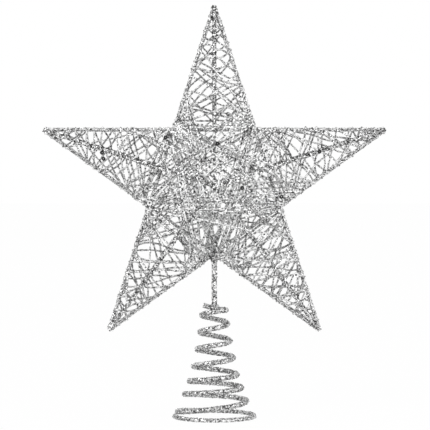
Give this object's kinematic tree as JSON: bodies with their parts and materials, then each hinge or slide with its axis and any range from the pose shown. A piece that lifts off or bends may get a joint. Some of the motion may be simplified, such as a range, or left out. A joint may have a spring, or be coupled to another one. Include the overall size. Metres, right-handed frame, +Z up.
{
  "type": "christmas tree topper star",
  "caption": "Pointed star of glitter-coated wire, swelling to the middle and wound with glitter thread, on a stem and a conical coil that slips over the top of a tree.",
  "frame": {"origin": "middle of the coil's foot, on the surface that it stands on", "axes": "+Z up along the stem to the star's upper tip, -Y out of the star's front, +X to the viewer's right"},
  "size_m": [0.2048, 0.0498, 0.2466],
  "materials": {
    "glitter_wire": "silver glitter coat",
    "glitter_thread": "fine silver glitter"
  },
  "bodies": {
    "coil_base": {"coil_spring": "glitter_wire"},
    "stem_foot": {"stem_foot_weld": "glitter_wire"},
    "star": {"star_wire_1": "glitter_wire", "star_wire_2": "glitter_wire", "star_wire_3": "glitter_wire", "star_wire_4": "glitter_wire", "star_wire_5": "glitter_wire", "front_ridge_1": "glitter_wire", "front_ridge_2": "glitter_wire", "front_ridge_3": "glitter_wire", "front_ridge_4": "glitter_wire", "front_ridge_5": "glitter_wire", "back_ridge_1": "glitter_wire", "back_ridge_2": "glitter_wire", "back_ridge_3": "glitter_wire", "back_ridge_4": "glitter_wire", "back_ridge_5": "glitter_wire", "front_hub_weld": "glitter_wire", "back_hub_weld": "glitter_wire", "tip_welds": "glitter_wire", "stem_top_weld": "glitter_wire", "stem": "glitter_wire", "arm_winding_1": "glitter_thread", "arm_winding_2": "glitter_thread", "arm_winding_3": "glitter_thread", "arm_winding_4": "glitter_thread", "arm_winding_5": "glitter_thread", "front_centre_winding": "glitter_thread", "back_centre_winding": "glitter_thread"}
  },
  "joints": [
    {"name": "coil_squeeze", "type": "slide", "parent": "coil_base", "child": "stem_foot", "axis": [0, 0, 1], "range_m": [-0.02, 0], "stiffness_N_per_m": 515, "springref_m": 0.0025, "deforming": ["coil_spring"]},
    {"name": "star_nod", "type": "hinge", "parent": "stem_foot", "child": "star", "pos_m": [0, 0, 0.06584], "axis": [0.9724, 0, -0.2334], "range_deg": [-10, 10], "stiffness_Nm_per_rad": 0.5}
  ]
}
